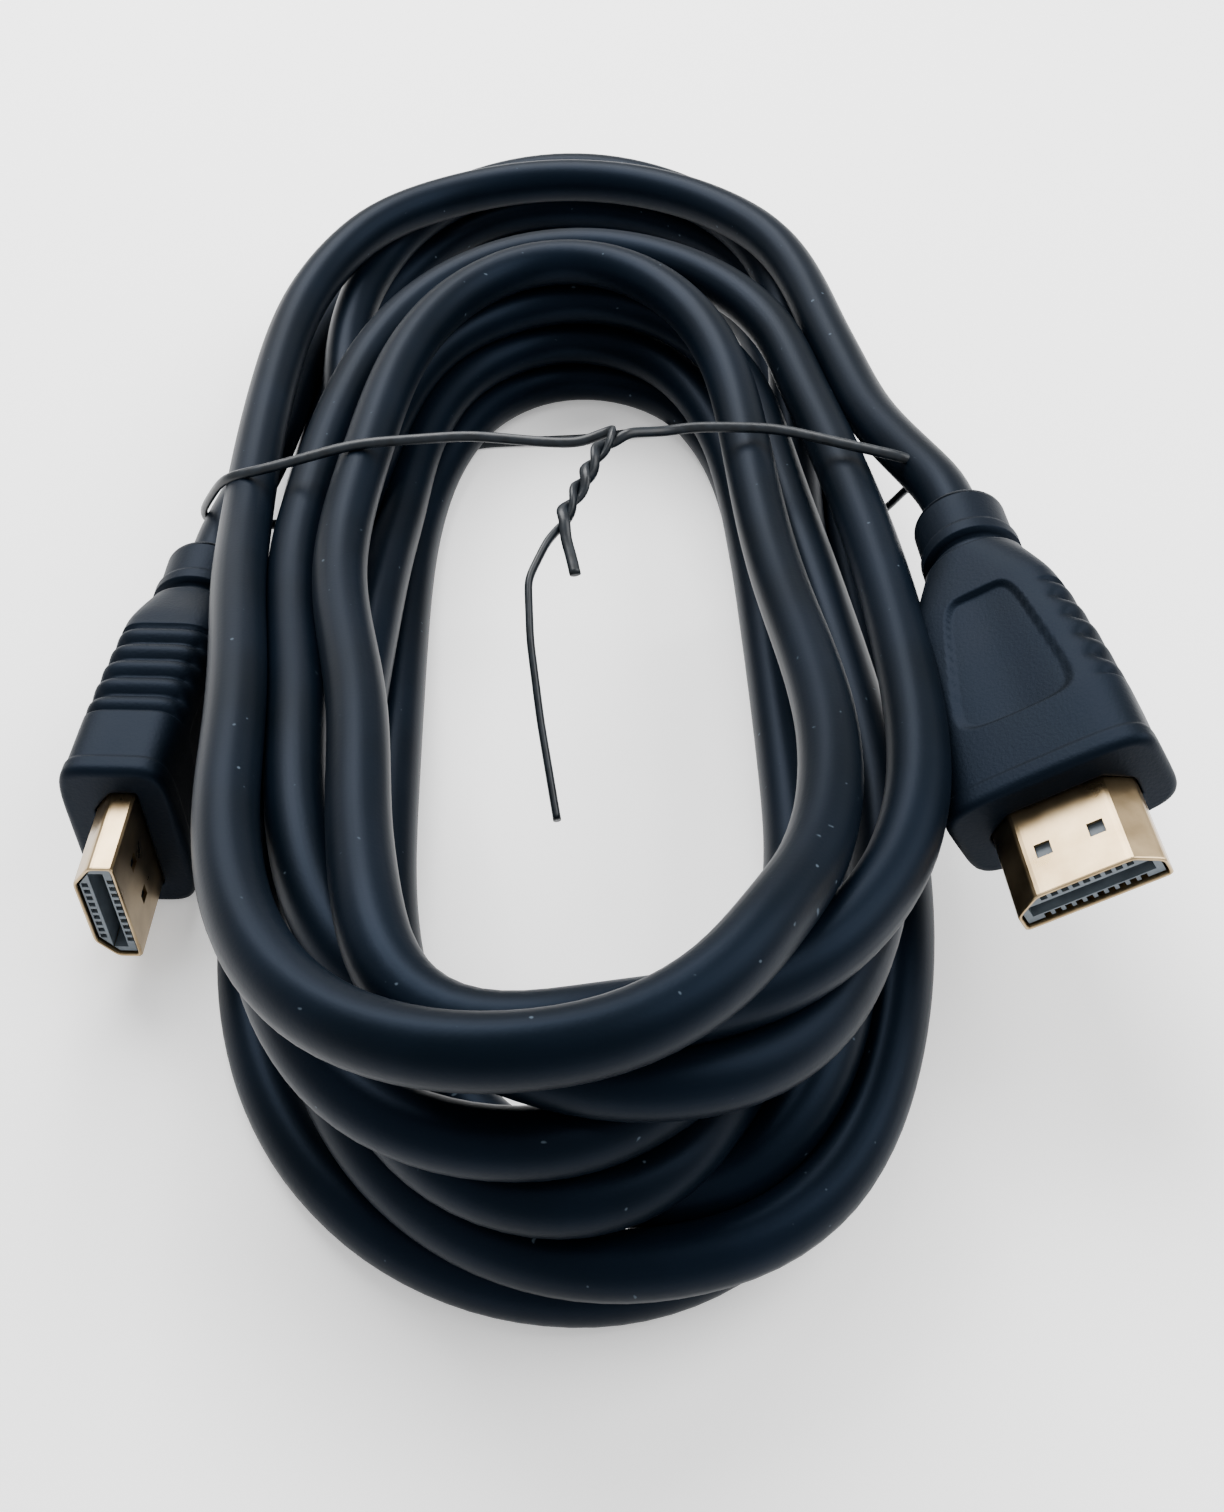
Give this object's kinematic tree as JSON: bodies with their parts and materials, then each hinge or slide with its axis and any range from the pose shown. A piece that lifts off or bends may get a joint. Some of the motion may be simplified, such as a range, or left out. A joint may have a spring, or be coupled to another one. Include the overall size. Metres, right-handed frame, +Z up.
{
  "type": "hdmi cable",
  "caption": "Audio and video cable with a moulded plug at each end, laid in an oval coil and held by a wire twist tie.",
  "frame": {"origin": "middle of the underside, on the surface that the coil lies on", "axes": "+Z up from the surface, -Y the way the plugs point, +Y along the coil's long axis to its far end, +X to the right seen with the plugs towards the viewer"},
  "size_m": [0.1073, 0.1926, 0.041],
  "materials": {
    "jacket": "satin",
    "grip": "matte",
    "shell": "satin",
    "carrier": "matte",
    "contact": "satin",
    "tie": "satin"
  },
  "bodies": {
    "root": {"cable_coil": "jacket", "cable_lead_left": "jacket", "cable_lead_right": "jacket", "plug_grip_left": "grip", "plug_grip_right": "grip", "plug_shell_left": "shell", "plug_shell_right": "shell", "contact_carrier_left": "carrier", "contact_carrier_right": "carrier", "contact_left_01": "contact", "contact_left_02": "contact", "contact_left_03": "contact", "contact_left_04": "contact", "contact_left_05": "contact", "contact_left_06": "contact", "contact_left_07": "contact", "contact_left_08": "contact", "contact_left_09": "contact", "contact_left_10": "contact", "contact_left_11": "contact", "contact_left_12": "contact", "contact_left_13": "contact", "contact_left_14": "contact", "contact_left_15": "contact", "contact_left_16": "contact", "contact_left_17": "contact", "contact_left_18": "contact", "contact_left_19": "contact", "contact_right_01": "contact", "contact_right_02": "contact", "contact_right_03": "contact", "contact_right_04": "contact", "contact_right_05": "contact", "contact_right_06": "contact", "contact_right_07": "contact", "contact_right_08": "contact", "contact_right_09": "contact", "contact_right_10": "contact", "contact_right_11": "contact", "contact_right_12": "contact", "contact_right_13": "contact", "contact_right_14": "contact", "contact_right_15": "contact", "contact_right_16": "contact", "contact_right_17": "contact", "contact_right_18": "contact", "contact_right_19": "contact", "twist_tie": "tie"}
  },
  "joints": []
}
